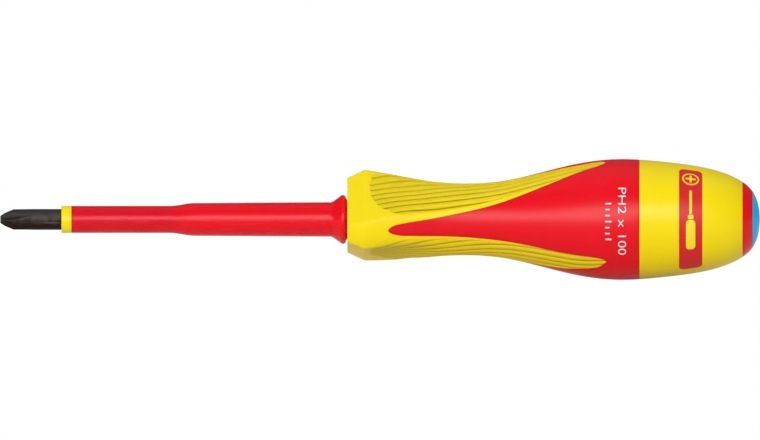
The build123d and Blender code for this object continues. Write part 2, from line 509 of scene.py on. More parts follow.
# ---- shared shader effects ----------------------------------------------------------
class Effects:
    """Node groups that more than one finish uses, each built once."""

    SLOW_SCALE = 55.0
    SLOW_SHARE = 0.65
    STREAK_SCALE = (18.0, 260.0, 260.0)
    PATCH_SCALE = 90.0
    LINE_RANGE = (0.56, 0.72)
    PATCH_RANGE = (0.45, 0.70)

    def __init__(self) -> None:
        """Build the groups."""
        self.skin = self.moulded_skin()
        self.scuffs = self.handling_marks()

    @staticmethod
    def new_group(name: str, inputs: dict[str, tuple], outputs: dict[str, str]) -> tuple:
        """Group with its sockets.

        Args:
            name: Name of the group.
            inputs: Socket type and default value by input name.
            outputs: Socket type by output name.

        Returns:
            The group, its input node and its output node.
        """
        group = bpy.data.node_groups.new(name, "ShaderNodeTree")
        for label, (kind, value) in inputs.items():
            socket = group.interface.new_socket(name=label, in_out="INPUT", socket_type=kind)
            socket.default_value = value
        for label, kind in outputs.items():
            group.interface.new_socket(name=label, in_out="OUTPUT", socket_type=kind)
        return group, group.nodes.new("NodeGroupInput"), group.nodes.new("NodeGroupOutput")

    def moulded_skin(self) -> bpy.types.NodeTree:
        """Moulded plastic: slow shade changes, fine spark-eroded grain and flow streaks."""
        group, given, result = self.new_group(
            "moulded_skin",
            {"Colour": ("NodeSocketColor", (1, 1, 1, 1)), "Shade Change": ("NodeSocketFloat", 0.06),
             "Roughness": ("NodeSocketFloat", 0.3), "Roughness Change": ("NodeSocketFloat", 0.08),
             "Grain Size": ("NodeSocketFloat", 2500.0)},
            {"Colour": "NodeSocketColor", "Roughness": "NodeSocketFloat",
             "Height": "NodeSocketFloat"})
        build = NodeBuilder(group)
        place = build.node("ShaderNodeTexCoord").outputs["Object"]
        slow = build.noise(place, self.SLOW_SCALE, detail=3.0)
        streaks = build.noise(build.stretched(place, self.STREAK_SCALE), 1.0, detail=4.0)
        grain = build.noise(place, 1.0, detail=2.0)
        build.link(given.outputs["Grain Size"], grain.node.inputs["Scale"])
        shade_mix = build.math("ADD", build.math("MULTIPLY", slow, self.SLOW_SHARE),
                               build.math("MULTIPLY", streaks, 1 - self.SLOW_SHARE))
        shade_offset = build.math("MULTIPLY", build.math("SUBTRACT", shade_mix, 0.5),
                                  given.outputs["Shade Change"])
        value = build.math("ADD", shade_offset, 1.0)
        tint = build.node("ShaderNodeHueSaturation")
        build.link(given.outputs["Colour"], tint.inputs["Color"])
        build.link(value, tint.inputs["Value"])
        rough = build.math("ADD", given.outputs["Roughness"], build.math(
            "MULTIPLY", build.math("SUBTRACT", streaks, 0.5), given.outputs["Roughness Change"]))
        build.link(tint.outputs["Color"], result.inputs["Colour"])
        build.link(rough, result.inputs["Roughness"])
        build.link(grain, result.inputs["Height"])
        return group

    def handling_marks(self) -> bpy.types.NodeTree:
        """Faint rubbed streaks along the tool, as a mask."""
        group, given, result = self.new_group(
            "handling_marks",
            {"Length": ("NodeSocketFloat", 60.0), "Width": ("NodeSocketFloat", 1600.0),
             "Amount": ("NodeSocketFloat", 0.3)},
            {"Mask": "NodeSocketFloat"})
        build = NodeBuilder(group)
        place = build.node("ShaderNodeTexCoord").outputs["Object"]
        scale = build.node("ShaderNodeCombineXYZ")
        build.link(given.outputs["Length"], scale.inputs["X"])
        build.link(given.outputs["Width"], scale.inputs["Y"])
        build.link(given.outputs["Width"], scale.inputs["Z"])
        spread = build.node("ShaderNodeVectorMath", operation="MULTIPLY")
        build.link(place, spread.inputs[0])
        build.link(scale.outputs["Vector"], spread.inputs[1])
        lines = build.noise(spread.outputs["Vector"], 1.0, detail=5.0)
        patches = build.noise(place, self.PATCH_SCALE, detail=2.0)
        thin = build.ramp(lines, *self.LINE_RANGE)
        patchy = build.ramp(patches, *self.PATCH_RANGE)
        mask = build.math("MULTIPLY", build.math("MULTIPLY", thin, patchy),
                          given.outputs["Amount"])
        build.link(mask, result.inputs["Mask"])
        return group


class NodeBuilder:
    """Short ways to add and join shader nodes in one tree."""

    def __init__(self, tree: bpy.types.NodeTree) -> None:
        """Work in the given tree."""
        self.tree = tree

    def node(self, kind: str, **settings: object) -> bpy.types.Node:
        """New node with its settings."""
        made = self.tree.nodes.new(kind)
        for name, value in settings.items():
            setattr(made, name, value)
        return made

    def link(self, source: bpy.types.NodeSocket, target: bpy.types.NodeSocket) -> None:
        """Join an output to an input."""
        self.tree.links.new(source, target)

    def feed(self, socket: bpy.types.NodeSocket, value: object) -> None:
        """Join a socket to an input, or set the input to a number."""
        if isinstance(value, bpy.types.NodeSocket):
            self.link(value, socket)
        else:
            socket.default_value = value

    def math(self, operation: str, first: object, second: object) -> bpy.types.NodeSocket:
        """Result of a sum of two sockets or numbers."""
        made = self.node("ShaderNodeMath", operation=operation)
        self.feed(made.inputs[0], first)
        self.feed(made.inputs[1], second)
        return made.outputs[0]

    def noise(self, place: bpy.types.NodeSocket, scale: float,
              detail: float) -> bpy.types.NodeSocket:
        """Noise value at a place."""
        made = self.node("ShaderNodeTexNoise")
        self.set_inputs(made, {"Scale": scale, "Detail": detail})
        self.link(place, made.inputs["Vector"])
        return made.outputs["Fac"]

    def stretched(self, place: bpy.types.NodeSocket, scale: tuple) -> bpy.types.NodeSocket:
        """Place scaled by its own factor along each axis."""
        made = self.node("ShaderNodeMapping")
        made.inputs["Scale"].default_value = scale
        self.link(place, made.inputs["Vector"])
        return made.outputs["Vector"]

    def ramp(self, value: bpy.types.NodeSocket, low: float, high: float) -> bpy.types.NodeSocket:
        """Value taken from 0 at low to 1 at high, with level ends."""
        made = self.node("ShaderNodeMapRange", interpolation_type="SMOOTHSTEP")
        self.set_inputs(made, {"From Min": low, "From Max": high})
        self.link(value, made.inputs["Value"])
        return made.outputs["Result"]

    def mix_colours(self, factor: object, first: object,
                    second: object) -> bpy.types.NodeSocket:
        """Mix of two colours through the colour sockets of a mix node."""
        made = self.node("ShaderNodeMix", data_type="RGBA")
        self.feed(made.inputs[0], factor)
        self.feed(made.inputs[6], first)
        self.feed(made.inputs[7], second)
        return made.outputs[2]

    def group(self, tree: bpy.types.NodeTree, **inputs: object) -> bpy.types.Node:
        """Shared effect with its inputs set or joined."""
        made = self.node("ShaderNodeGroup")
        made.node_tree = tree
        for name, value in inputs.items():
            self.feed(made.inputs[name.replace("_", " ")], value)
        return made

    def bump(self, height: bpy.types.NodeSocket, strength: float, distance: float,
             shader: bpy.types.Node) -> None:
        """Bump a shader's surface by a height.

        Args:
            height: The height that varies over the surface.
            strength: Share of the bump that is seen.
            distance: Depth that a height of 1 stands for, in metres.
            shader: The shader whose normal is bumped.
        """
        made = self.node("ShaderNodeBump")
        self.set_inputs(made, {"Strength": strength, "Distance": distance})
        self.link(height, made.inputs["Height"])
        self.link(made.outputs["Normal"], shader.inputs["Normal"])

    @staticmethod
    def set_inputs(node: bpy.types.Node, values: dict[str, object]) -> None:
        """Set a node's own inputs by name."""
        for name, value in values.items():
            node.inputs[name].default_value = value


def new_material(name: str, colour: Colour) -> tuple[
        bpy.types.Material, NodeBuilder, bpy.types.Node]:
    """Start a material.

    Args:
        name: Name of the material.
        colour: Its colour in the plain view.

    Returns:
        The material, the builder of its nodes and its shader.
    """
    material = bpy.data.materials.new(name)
    material.use_nodes = True
    material.diffuse_color = (*colour, 1.0)
    tree = material.node_tree
    return material, NodeBuilder(tree), tree.nodes["Principled BSDF"]


# ---- finishes -----------------------------------------------------------------------
@dataclass(frozen=True)
class MouldedPlastic:
    """Injection-moulded plastic, smooth or grained, with painted shade in its grooves if it has
    any.
    """

    name: str
    colour: Colour
    groove_shade_colour: Colour | None = None
    roughness: float = 0.30
    roughness_change: float = 0.10
    shade_change: float = 0.06
    grain_size: float = 2600.0
    bump: float = 0.05
    bump_depth: float = 0.0002
    gloss: float = 0.30
    refraction: float = 1.49
    translucence: float = 0.0
    glow_through: Colour = (1.0, 0.12, 0.12)
    glow_depth: float = 0.0025
    scuff: float = 0.12

    def build(self, effects: Effects) -> bpy.types.Material:
        """Make the material.

        Args:
            effects: Shared node groups.

        Returns:
            The material.
        """
        material, build, shader = new_material(self.name, self.colour)
        colour = (*self.colour, 1.0)
        # Painted shade: the grooves and the ribbed area are darkened towards the groove colour.
        if self.groove_shade_colour:
            groove = build.node("ShaderNodeAttribute", attribute_name=GROOVE_SHADE_MAP)
            colour = build.mix_colours(groove.outputs["Fac"], colour, (*self.groove_shade_colour, 1.0))
        skin = build.group(effects.skin, Colour=colour, Shade_Change=self.shade_change,
                           Roughness=self.roughness, Roughness_Change=self.roughness_change,
                           Grain_Size=self.grain_size)
        marks = build.group(effects.scuffs, Amount=self.scuff)
        rough = build.math("ADD", skin.outputs["Roughness"], marks.outputs["Mask"])
        build.link(skin.outputs["Colour"], shader.inputs["Base Color"])
        build.link(rough, shader.inputs["Roughness"])
        build.bump(skin.outputs["Height"], self.bump, self.bump_depth, shader)
        build.set_inputs(shader, {
            "Specular IOR Level": self.gloss, "IOR": self.refraction,
            "Subsurface Weight": self.translucence, "Subsurface Radius": self.glow_through,
            "Subsurface Scale": self.glow_depth})
        return material


@dataclass(frozen=True)
class BurnishedSteel:
    """Dark burnished tool steel, turning marks round the shank, painted shade: light on top, dark
    below.
    """

    name: str = "burnished_tool_steel"
    # light and dark: the steel's two tones; besides random clouds, light is painted on top and dark
    # below as shade.
    light: Colour = (0.112, 0.105, 0.101)
    dark: Colour = (0.036, 0.022, 0.019)
    worn: Colour = (0.22, 0.21, 0.205)
    roughness: float = 0.64
    roughness_change: float = 0.22
    shade_change: float = 0.3
    grain_size: float = 5200.0
    grain_share: float = 0.6
    ring_scale: Triple = (9000.0, 250.0, 250.0)
    cloud_scale: float = 420.0
    cloud_range: tuple[float, float] = (0.3, 0.75)
    shade_reach: float = 0.0025
    mark_length: float = 40.0
    mark_width: float = 2600.0
    mark_amount: float = 0.5
    bump: float = 0.16
    bump_depth: float = 0.0001

    def build(self, effects: Effects) -> bpy.types.Material:
        """Make the material.

        Args:
            effects: Shared node groups.

        Returns:
            The material.
        """
        material, build, shader = new_material(self.name, self.light)
        place = build.node("ShaderNodeTexCoord").outputs["Object"]
        rings = build.noise(build.stretched(place, self.ring_scale), 1.0, detail=3.0)
        clouds = build.noise(place, self.cloud_scale, detail=5.0)
        # Painted shade: the colour turns to light above the axis and to dark below it, mixed with
        # random clouds.
        height_here = build.node("ShaderNodeSeparateXYZ")
        build.link(place, height_here.inputs["Vector"])
        upper = build.ramp(height_here.outputs["Z"], -self.shade_reach, self.shade_reach)
        patches = build.ramp(build.math("ADD", build.math("MULTIPLY", clouds, 0.5),
                                        build.math("MULTIPLY", upper, 0.5)), *self.cloud_range)
        colour = build.mix_colours(patches, (*self.dark, 1.0), (*self.light, 1.0))
        skin = build.group(effects.skin, Colour=colour, Shade_Change=self.shade_change,
                           Roughness=self.roughness, Roughness_Change=self.roughness_change,
                           Grain_Size=self.grain_size)
        marks = build.group(effects.scuffs, Length=self.mark_length, Width=self.mark_width,
                            Amount=self.mark_amount)
        worn = build.mix_colours(marks.outputs["Mask"], skin.outputs["Colour"],
                                 (*self.worn, 1.0))
        build.link(worn, shader.inputs["Base Color"])
        build.link(skin.outputs["Roughness"], shader.inputs["Roughness"])
        build.set_inputs(shader, {"Metallic": 1.0})
        grain = build.math("MULTIPLY", skin.outputs["Height"], self.grain_share)
        build.bump(build.math("ADD", rings, grain), self.bump, self.bump_depth, shader)
        return material


@dataclass(frozen=True)
class PrintedInk:
    """Pad-printed ink film with slightly uneven cover."""

    name: str
    colour: Colour
    roughness: float = 0.42
    roughness_change: float = 0.15
    shade_change: float = 0.10
    grain_size: float = 4200.0
    bump: float = 0.06
    bump_depth: float = 0.0001

    def build(self, effects: Effects) -> bpy.types.Material:
        """Make the material.

        Args:
            effects: Shared node groups.

        Returns:
            The material.
        """
        material, build, shader = new_material(self.name, self.colour)
        skin = build.group(effects.skin, Colour=(*self.colour, 1.0),
                           Shade_Change=self.shade_change, Roughness=self.roughness,
                           Roughness_Change=self.roughness_change, Grain_Size=self.grain_size)
        build.link(skin.outputs["Colour"], shader.inputs["Base Color"])
        build.link(skin.outputs["Roughness"], shader.inputs["Roughness"])
        build.bump(skin.outputs["Height"], self.bump, self.bump_depth, shader)
        return material


YELLOW = (0.95, 0.745, 0.0)
# Painted shade: darker yellow that stands for shade in the grip's grooves.
GROOVE_SHADE_YELLOW = (0.38, 0.275, 0.0)
CORE_YELLOW = (0.8, 0.62, 0.03)
RED = (0.83, 0.001, 0.011)
# Painted light: brighter copy of RED that stands for more light on the ring's rear-facing slope.
RING_RED_PAINTED_LIGHT = (1.0, 0.001, 0.013)
BLUE = (0.0, 0.58, 1.0)
INK_WHITE = (0.92, 0.9, 0.9)
INK_RED = (0.70, 0.008, 0.012)
INK_YELLOW = (0.95, 0.76, 0.01)


class Finishes:
    """Every finish on the tool, made once."""

    def __init__(self) -> None:
        """Build the shared effects and the materials."""
        effects = Effects()
        self.grip = MouldedPlastic("yellow_grip_plastic", YELLOW, GROOVE_SHADE_YELLOW,
                                   roughness=0.38, bump=0.08).build(effects)
        self.yellow = MouldedPlastic("yellow_band_plastic", YELLOW).build(effects)
        self.red = MouldedPlastic("red_body_plastic", RED, translucence=0.50).build(effects)
        # Painted light: the ring's red is a brighter copy of the body red.
        self.ring = MouldedPlastic("red_ring_plastic_painted_light", RING_RED_PAINTED_LIGHT,
                                   translucence=0.50).build(effects)
        self.sleeve = MouldedPlastic("red_sleeve_plastic", RED, roughness=0.27,
                                     grain_size=3600.0, translucence=0.60).build(effects)
        self.blue = MouldedPlastic("blue_cap_plastic", BLUE, roughness=0.34,
                                   gloss=0.15).build(effects)
        self.core = MouldedPlastic("hard_core_plastic", CORE_YELLOW, roughness=0.5,
                                   bump=0.15).build(effects)
        self.steel = BurnishedSteel().build(effects)
        self.white = PrintedInk("white_print", INK_WHITE).build(effects)
        self.label_red = PrintedInk("label_red_print", INK_RED).build(effects)
        self.label_yellow = PrintedInk("label_yellow_print", INK_YELLOW).build(effects)


def dress(piece: bpy.types.Object, material: bpy.types.Material) -> None:
    """Give a piece one material, in every slot it has."""
    if piece.material_slots:
        for holder in piece.material_slots:
            holder.material = material
    else:
        piece.data.materials.append(material)


def settle(piece: bpy.types.Object, material: bpy.types.Material,
           node: str | None = None) -> None:
    """Dress a finished piece, ride it on the tool and let it stand for its CAD node.

    Args:
        piece: The finished piece.
        material: Its finish.
        node: The CAD node that the piece replaces, if any.
    """
    dress(piece, material)
    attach(piece, ROOT)
    if node:
        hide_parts(node)
    log.info("%s: %d faces", piece.name, len(piece.data.polygons))


def finish_moulding(piece: bpy.types.Object, material: bpy.types.Material,
                    node: str) -> None:
    """Shade, dress and settle a moulding that replaces a CAD node."""
    shade(piece, Shading.MOULDED)
    settle(piece, material, node)


# ---- sub-assemblies -----------------------------------------------------------------
@dataclass
class InsulatedBlade:
    """The steel blade with its two layers of insulation."""

    finishes: Finishes
    hidden_r: float = 2.8
    bore_step: float = 0.08
    bore_edge: float = 0.06
    bare_end: float = 17.6
    inner_end: float = 20.5
    inner_edge: float = 0.1
    inner_hidden_r: float = 3.345
    thin_r: float = 3.89
    thin_places: tuple[float, float] = (30.0, 40.0)
    step_start: float = 49.4
    step_middle: tuple[float, float] = (52.3, 4.29)
    step_end: float = 55.2
    step_ease: float = 0.8
    step_rise: float = 0.02
    step_rest: float = 0.005
    step_spans: int = 15
    thick_start_r: float = 4.71
    thick_slope: float = 0.006
    thick_places: Pairs = ((65.0, 4.765), (75.0, 4.83), (85.0, 4.893))
    thick_end: float = 95.4
    thick_end_r: float = 4.96
    flare_ease: float = 1.2
    flare_rise: float = 0.02
    flare: Pairs = ((96.3, 5.47), (97.25, 6.16))
    flare_slopes: tuple[float, float] = (0.005, 0.73)
    flare_spans: int = 11
    guard_r: float = 7.05
    guard_middle: float = 98.75
    guard_lip: float = 0.85
    guard_turns: tuple[float, float] = (126.0, -8.0)
    guard_spans: int = 17
    guard_back_r: float = 5.6
    face: float = 100.0
    face_gap: float = 0.02
    spigot_end: float = 112.0
    edge: float = 0.22

    def make(self) -> None:
        """Dress the steel and build both sleeves."""
        dress(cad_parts["blade"], self.finishes.steel)
        self.inner_sleeve()
        self.outer_sleeve()

    def inner_sleeve(self) -> None:
        """Yellow sleeve whose front end stands out as a ring."""
        ring = turned_piece("inner_sleeve", rounded([
            (self.bare_end, self.hidden_r + self.bore_step, self.bore_edge),
            (self.bare_end, self.thin_r, self.edge),
            (self.inner_end, self.thin_r, self.inner_edge), (self.inner_end, self.inner_hidden_r),
            (self.spigot_end, self.inner_hidden_r), (self.spigot_end, self.hidden_r),
        ]))
        finish_moulding(ring, self.finishes.yellow, "inner_insulation")

    @staticmethod
    def traced(knots: Pairs, slopes: tuple[float, float], spans: int) -> list[tuple[float, float]]:
        """Points on a smooth outline through (x, r) knots, with its end slopes given."""
        curve = CubicCurve(*np.array(knots).T, *slopes)
        places = np.linspace(knots[0][0], knots[-1][0], spans + 1)
        return [(float(x), float(curve(x))) for x in places]

    def shoulder(self) -> list[tuple[float, float]]:
        """Outline of the soft step from the thin stretch to the thick one."""
        knots = ((self.step_start - self.step_ease, self.thin_r),
                 (self.step_start, self.thin_r + self.step_rise), self.step_middle,
                 (self.step_end, self.thick_start_r - self.step_rise),
                 (self.step_end + self.step_ease, self.thick_start_r + self.step_rest))
        return self.traced(knots, (0.0, self.thick_slope), self.step_spans)

    def guard(self) -> list[tuple[float, float]]:
        """Outline of the flare and its rounded guard lip, up to the handle's face."""
        knots = ((self.thick_end - self.flare_ease, self.thick_end_r - self.flare_rise / 2),
                 (self.thick_end, self.thick_end_r + self.flare_rise), *self.flare)
        lip_r = self.guard_r - self.guard_lip
        turns = np.radians(np.linspace(*self.guard_turns, self.guard_spans + 1))
        return self.traced(knots, self.flare_slopes, self.flare_spans) + [
            (self.guard_middle + self.guard_lip * math.cos(turn),
             lip_r + self.guard_lip * math.sin(turn)) for turn in turns]

    def outer_sleeve(self) -> None:
        """Red sleeve with a soft step, a guard lip and the spigot in the handle."""
        front = rounded([
            (self.spigot_end, self.inner_hidden_r), (self.inner_end, self.inner_hidden_r),
            (self.inner_end, self.thin_r, self.edge),
        ])
        back_x = self.face - self.face_gap
        outline = (front + [(x, self.thin_r) for x in self.thin_places] + self.shoulder()
                   + list(self.thick_places) + self.guard()
                   + [(back_x, self.guard_back_r), (back_x, self.thick_end_r),
                      (self.spigot_end, self.thick_end_r)])
        sleeve = turned_piece("outer_sleeve", outline)
        finish_moulding(sleeve, self.finishes.sleeve, "outer_insulation")


@dataclass
class Handle:
    """The handle's mouldings: grip, petal body, band, ring, cap and core."""

    finishes: Finishes
    form: HandleForm
    petals: PetalForm
    ribs: RibField
    bore_r: float = 4.96
    core_neck_r: float = 7.0
    core_neck_end: float = 150.0
    core_wide_r: float = 10.5
    core_wide_start: float = 165.0
    core_wide_end: float = 205.0
    core_tail_start: float = 209.0
    core_tail_r: float = 7.0
    band_start: float = 184.2
    band_end: float = 213.9
    ring_end: float = 216.8
    stem_r: float = 3.5
    stem_end: float = 206.0
    stem_chamfer: float = 0.8
    cap_rim: Pairs = ((0.0, 0.22), (0.05, 0.14))
    dome_ease: float = 0.12
    dome_stride: int = 6
    dimple_r: float = 1.0
    dimple: Pairs = ((0.01, 0.9), (0.07, 0.75), (0.10, 0.4), (0.10, 0.0))
    lobes: int = 3
    # Painted shade over the whole ribbed area; line_width sets the painted dark line in each
    # groove.
    ribbed_shade: float = 0.25
    line_width: float = 0.085
    seam_depth: float = 0.06
    seam_width: float = 0.22
    seam_fade: float = 0.5
    front_rows: Pairs = ((0.0, 0.0), (0.0, 0.45), (0.0, 0.88), (0.0, 0.975), (0.03, 0.994),
                         (0.12, 1.0))
    row_gap: float = 0.6
    chamfer_rows: int = 8
    chamfer_stop: float = 0.5
    ridge_rows: tuple[float, ...] = (-0.12, 0.0, 0.12, 0.35)
    collar_pitch: float = 0.22
    collar_stop: float = 0.1
    ridge_round: float = 0.05
    ridge_width: float = 0.1
    petal_rows: int = 190
    petal_columns: int = 49
    petal_crowding: float = 0.35
    body_start: float = 175.0
    body_rows: int = 24
    body_eased: tuple[float, ...] = (0.3, 0.14, 0.04, 0.0)
    rear_eased: tuple[float, ...] = (0.0, 0.05, 0.14, 0.3)
    rear_ease_end: float = 0.6
    mouth_depth: float = 3.0
    rib_columns: tuple[float, ...] = (0.0, 0.04, 0.09, 0.15, 0.21, 0.27, 0.35, 0.46, 0.58, 0.70,
                                      0.81, 0.90, 0.96)
    rib_span: tuple[int, int] = (-2, 11)

    def make(self) -> None:
        """Build every moulding of the handle."""
        dress(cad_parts["handle_core"], self.finishes.core)
        self.grip()
        self.petal_body()
        self.rear_band()
        self.rear_ring()
        self.end_cap()

    def core_radius(self, x: np.ndarray) -> np.ndarray:
        """Radius of the hidden core under the shells."""
        return np.interp(x, [self.core_neck_end, self.core_wide_start],
                         [self.core_neck_r, self.core_wide_r])

    def seam(self, distance: np.ndarray) -> np.ndarray:
        """Depth of the rounded edge of a moulding near its parting line."""
        return self.seam_depth * (1 - smooth_ramp(distance, 0.0, self.seam_width))

    def grip_rows(self) -> tuple[np.ndarray, np.ndarray]:
        """Places along the grip, and the share of the radius outside the bore at each."""
        face, ridge = self.form.face_x, self.form.ridge_x
        behind, front_share = np.array(self.front_rows).T
        chamfer = np.linspace(face + self.row_gap, ridge - self.chamfer_stop,
                              self.chamfer_rows)
        collar = np.arange(ridge + self.row_gap, self.petals.tip_x - self.collar_stop,
                           self.collar_pitch)
        x = np.concatenate([face + behind, chamfer, ridge + np.array(self.ridge_rows), collar,
                            self.petals.stations(self.petal_rows)])
        share = np.ones(len(x))
        share[:len(front_share)] = front_share
        return x, share

    def grip(self) -> None:
        """Yellow grip: three-sided collar and the ribbed panels between the petals."""
        rows, share = self.grip_rows()
        columns = np.concatenate([
            whole + np.array(self.rib_columns)
            for whole in range(self.rib_span[0], self.rib_span[1])])
        x = rows[:, None]
        low = self.petals.high(rows)[:, None]
        high = self.petals.low(rows)[:, None] + self.form.lobe_turn
        angle = np.clip(self.ribs.angle_at(x, columns[None, :]), low, high)
        radius = self.form.radius(x, angle)
        present = self.ribs.presence(x, angle, low, high)
        radius = radius - present * self.ribs.profile(x, self.ribs.count_at(x, angle))
        edge = np.minimum(angle - low, high - angle) * np.radians(radius)
        beside_petal = smooth_ramp(x, self.petals.tip_x, self.petals.tip_x + self.seam_fade)
        radius = radius - self.seam(edge) * beside_petal
        ridge_round = self.ridge_round * np.exp(
            -((x - self.form.ridge_x) / self.ridge_width) ** 2)
        radius = self.bore_r + (radius - ridge_round - self.bore_r) * share[:, None]
        # Painted shade: how far each point darkens towards the groove colour, most in the grooves.
        nearness = self.ribs.groove_nearness(self.ribs.count_at(x, angle), self.line_width)
        depth = present * (self.ribbed_shade + (1 - self.ribbed_shade) * nearness)
        sheets = self.lobe_sheets("panel", x, radius, angle)
        for sheet in sheets:
            shade_map = sheet.data.attributes.new(GROOVE_SHADE_MAP, "FLOAT", "POINT")
            shade_map.data.foreach_set("value", depth.ravel().astype(np.float32))
        piece = self.closed_shell("grip_moulding", sheets)
        finish_moulding(piece, self.finishes.grip, "grip")

    def petal_body(self) -> None:
        """Red body: three petals that join into a full ring behind the panels."""
        eased = self.band_start - np.array(self.body_eased)
        rows = np.concatenate([self.petals.stations(self.petal_rows),
                               np.linspace(self.body_start, eased[0], self.body_rows), eased[1:]])
        even = np.linspace(0, 1, self.petal_columns)
        crowded = (1 - np.cos(even * math.pi)) / 2
        across = self.petal_crowding * crowded + (1 - self.petal_crowding) * even
        x = rows[:, None]
        low = self.petals.low(rows)[:, None]
        high = self.petals.high(rows)[:, None]
        angle = low + (high - low) * across[None, :]
        radius = self.form.radius(x, angle)
        edge = np.minimum(angle - low, high - angle) * np.radians(radius)
        beside_panel = 1 - smooth_ramp(x, self.petals.root_x - self.seam_fade,
                                       self.petals.root_x)
        radius = radius - self.seam(edge) * beside_panel
        radius = radius - self.seam(self.band_start - x)
        piece = self.closed_shell("petal_moulding", self.lobe_sheets("petal", x, radius, angle))
        finish_moulding(piece, self.finishes.red, "petal_body")

    def lobe_sheets(self, name: str, x: np.ndarray, radius: np.ndarray,
                    angle: np.ndarray) -> list[bpy.types.Object]:
        """The same sheet on each of the handle's lobes, each with its own mesh.

        Args:
            name: Start of the sheets' names.
            x: Place along the axis of each row.
            radius: Radius at each point.
            angle: Angle at each point of the first sheet, in degrees.

        Returns:
            The sheets.
        """
        return [grid_piece(f"{name}_{lobe}", round_axis(
            np.broadcast_to(x, angle.shape), radius, angle + lobe * self.form.lobe_turn))
            for lobe in range(self.lobes)]

    def closed_shell(self, name: str, sheets: Sequence[bpy.types.Object]) -> bpy.types.Object:
        """Sheets joined into one shell, its open ends turned in to the core and closed.

        Args:
            name: Name of the shell.
            sheets: Sheets whose edges meet, so that one loop is open at each end.

        Returns:
            The shell.
        """
        piece = joined(name, sheets)
        merge(piece, SEAM_GAP, TINY_GAP)
        leave_edit()
        select_open_edges(piece)
        bpy.ops.mesh.extrude_edges_move()
        leave_edit()
        points = read_points(piece)
        chosen = np.zeros(len(points), bool)
        piece.data.vertices.foreach_get("select", chosen)
        along = points[chosen, 0] / MM
        radius = np.hypot(points[chosen, 1], points[chosen, 2]) / MM
        at_face = np.isclose(along, self.form.face_x, rtol=0, atol=0.01)
        inner = np.where(at_face, self.bore_r, self.core_radius(along))
        points[chosen, 1:] *= (inner / radius)[:, None]
        points[chosen, 0] = np.where(at_face, self.form.face_x + self.mouth_depth, along) * MM
        place_points(piece, points)
        select_open_edges(piece)
        bpy.ops.mesh.bridge_edge_loops()
        face_outwards()
        return piece

    def rear_outline(self, start: float, end: float,
                     count: int) -> list[tuple[float, float]]:
        """Outer outline between two places, its ends eased in at the parting lines."""
        eased = np.array(self.rear_eased)
        middle = np.linspace(start + self.rear_ease_end, end - self.rear_ease_end, count)
        x = np.concatenate([start + eased, middle, end - eased[::-1]])
        radius = self.form.round_radius(x) - self.seam(np.minimum(x - start, end - x))
        return list(zip(x.tolist(), radius.tolist()))

    def rear_band(self) -> None:
        """Wide yellow band round the back of the handle."""
        outline = self.rear_outline(self.band_start, self.band_end, 44)
        outline += [(self.band_end, self.core_tail_r), (self.core_tail_start, self.core_tail_r),
                    (self.core_wide_end, self.core_wide_r), (self.band_start, self.core_wide_r)]
        band = turned_piece("rear_band_moulding", outline)
        finish_moulding(band, self.finishes.yellow, "rear_band")

    def rear_ring(self) -> None:
        """Narrow red ring between the band and the cap."""
        outline = self.rear_outline(self.band_end, self.ring_end, 10)
        outline += [(self.ring_end, self.stem_r), (self.band_end, self.stem_r)]
        ring = turned_piece("rear_ring_moulding", outline)
        finish_moulding(ring, self.finishes.ring, "rear_ring")

    def end_cap(self) -> None:
        """Blue domed cap with its stem and the small mark of its moulding gate."""
        along, across = self.form.table
        on_dome = along > self.ring_end + self.dome_ease
        dome = zip(along[on_dome][::self.dome_stride].tolist(),
                   across[on_dome][::self.dome_stride].tolist())
        rim_r = float(self.form.round_radius(self.ring_end))
        end_x = self.form.outline[-1][0]
        outline = [
            (self.stem_end, 0.0), (self.stem_end, self.stem_r - self.stem_chamfer),
            (self.stem_end + self.stem_chamfer, self.stem_r), (self.ring_end, self.stem_r),
            *[(self.ring_end + behind, rim_r - below) for behind, below in self.cap_rim],
            *[(x, r) for x, r in dome if r > self.dimple_r],
            *[(end_x - depth, r) for depth, r in self.dimple],
        ]
        cap = turned_piece("end_cap_moulding", outline)
        finish_moulding(cap, self.finishes.blue, "end_cap")


